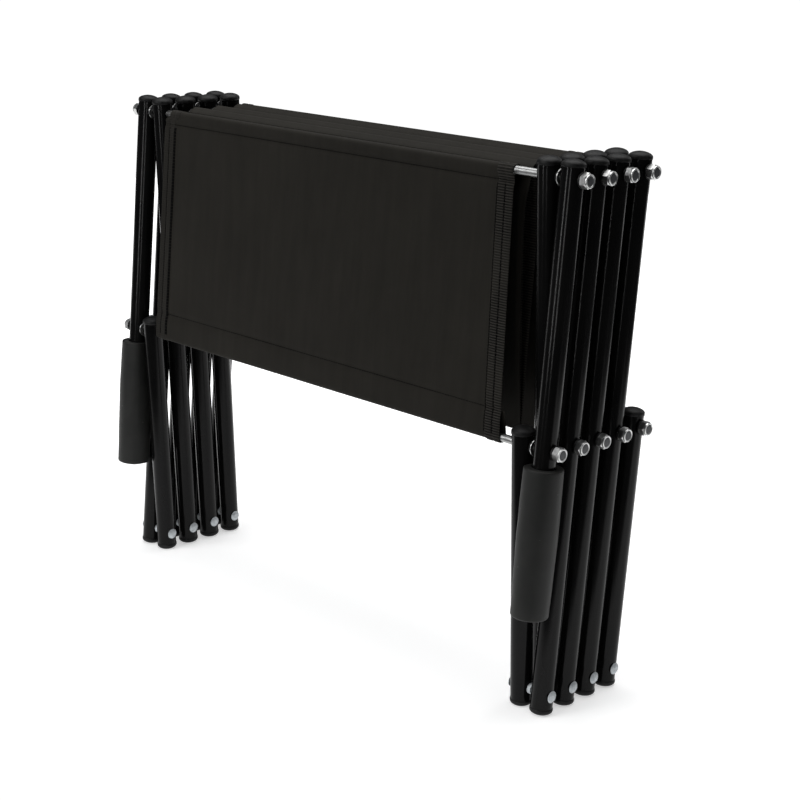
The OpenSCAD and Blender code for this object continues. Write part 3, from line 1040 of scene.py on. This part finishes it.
def make_lights():
    """Three softboxes for the whole cot, and two strips that the front right tubes mirror."""
    area_light("top_softbox", (-0.2, 0.3, 2.6), LIGHT_AIM, (2.6, 2.6), 60)
    area_light("front_softbox", (-1.0, -2.6, 1.9), LIGHT_AIM, (1.6, 1.2), 34)
    area_light("rear_softbox", (0.6, 2.8, 1.6), LIGHT_AIM, (1.8, 1.2), 9)
    area_light("left_strip", strip_place(62), TUBE_PLACE, (0.14, 0.42), 2.5)
    area_light("near_strip", strip_place(28), TUBE_PLACE, (0.12, 0.42), 1.7)


LENS = 75.89
CAMERA_PLACE = (1.24763, -1.21066, 0.73363)
CAMERA_YAW = 44.338
CAMERA_PITCH = 15.834
CAMERA_ROLL = 1.797


def make_camera():
    """A camera at the photograph's place, aimed by yaw, pitch and roll."""
    data = bpy.data.cameras.new("camera")
    data.lens = LENS
    data.sensor_width = 36.0
    camera = bpy.data.objects.new("camera", data)
    yaw, pitch = math.radians(CAMERA_YAW), math.radians(CAMERA_PITCH)
    back = Vector((math.sin(yaw) * math.cos(pitch), -math.cos(yaw) * math.cos(pitch), math.sin(pitch)))
    right = (-back).cross(Vector((0, 0, 1))).normalized()
    up = right.cross(-back)
    roll = math.radians(CAMERA_ROLL)
    turned = right * math.cos(roll) + up * math.sin(roll)
    upright = -right * math.sin(roll) + up * math.cos(roll)
    axes = Matrix((turned, upright, back)).transposed().to_4x4()
    camera.matrix_world = Matrix.Translation(CAMERA_PLACE) @ axes
    bpy.context.scene.collection.objects.link(camera)
    bpy.context.scene.camera = camera


# The whole object

def paint_nodes(names, material):
    """Gives carried-over CAD nodes a material."""
    for name in names:
        data = frame["nodes"][name].data
        data.materials.clear()
        data.materials.append(material)


def build():
    paint = paint_material()
    plastic = plastic_material()
    zinc = zinc_material("bright_zinc", 0.52, 0.76, (0.24, 0.42))
    dark_zinc = zinc_material("dull_zinc", 0.02, 0.04, (0.35, 0.55))
    nylon = nylon_material()
    aluminium = aluminium_material()
    foam = foam_material()
    canvas = canvas_material("coated_canvas", (0.0164, 0.0148, 0.0119), (0.0236, 0.0215, 0.0177))
    # Both hems carry painted shade and highlight across their ribs, slight on the left and strong on
    # the right.
    left_hem = canvas_material("canvas_hem_painted_rib_shade", (0.0166, 0.0152, 0.0127), (0.0243, 0.0224, 0.0193), 0.12)
    right_hem = canvas_material("ribbed_hem_painted_rib_shade", (0.0180, 0.0166, 0.0143), (0.0262, 0.0244, 0.0212), 0.8)
    cloths = (canvas, {"left": left_hem, "right": right_hem}, thread_material())

    tubes = [f"{row}_bar_{k}_{s}" for row in ("outer", "inner") for k in BARS for s in SIDES]
    paint_nodes(tubes, paint)
    drawn = zinc_material("drawn_zinc_rod", 0.38, 0.5, (0.3, 0.42), marked=False)
    paint_nodes(ROD_NODES.values(), drawn)
    for k in BARS:
        make_caps("outer", k, plastic)
        make_caps("inner", k, plastic)
        make_nuts(k, [zinc, nylon])
        make_washers(k, [zinc, dark_zinc])
    for k in RODS:
        make_rivets(k, aluminium)
    for k in BOLTED:
        make_bolts(k, zinc)
    for label, side in SIDES.items():
        make_grip(f"foam_grip_{label}", side, foam)
    make_panel("canvas_front", "outer", 1, -1, FRONT_EDGES, "outer_1", "canvas_front_panel", cloths)
    make_panel("canvas_rear", "inner", 5, 1, REAR_EDGES, "inner_5", "canvas_rear_panel", cloths)
    for k in PLEATS:
        make_pleat(k, "front", cloths, 10 + k)
        make_pleat(k, "rear", cloths, 20 + k)


bpy.context.scene.view_settings.view_transform = "Standard"
make_camera()
make_world()
make_lights()
make_floor()
build()
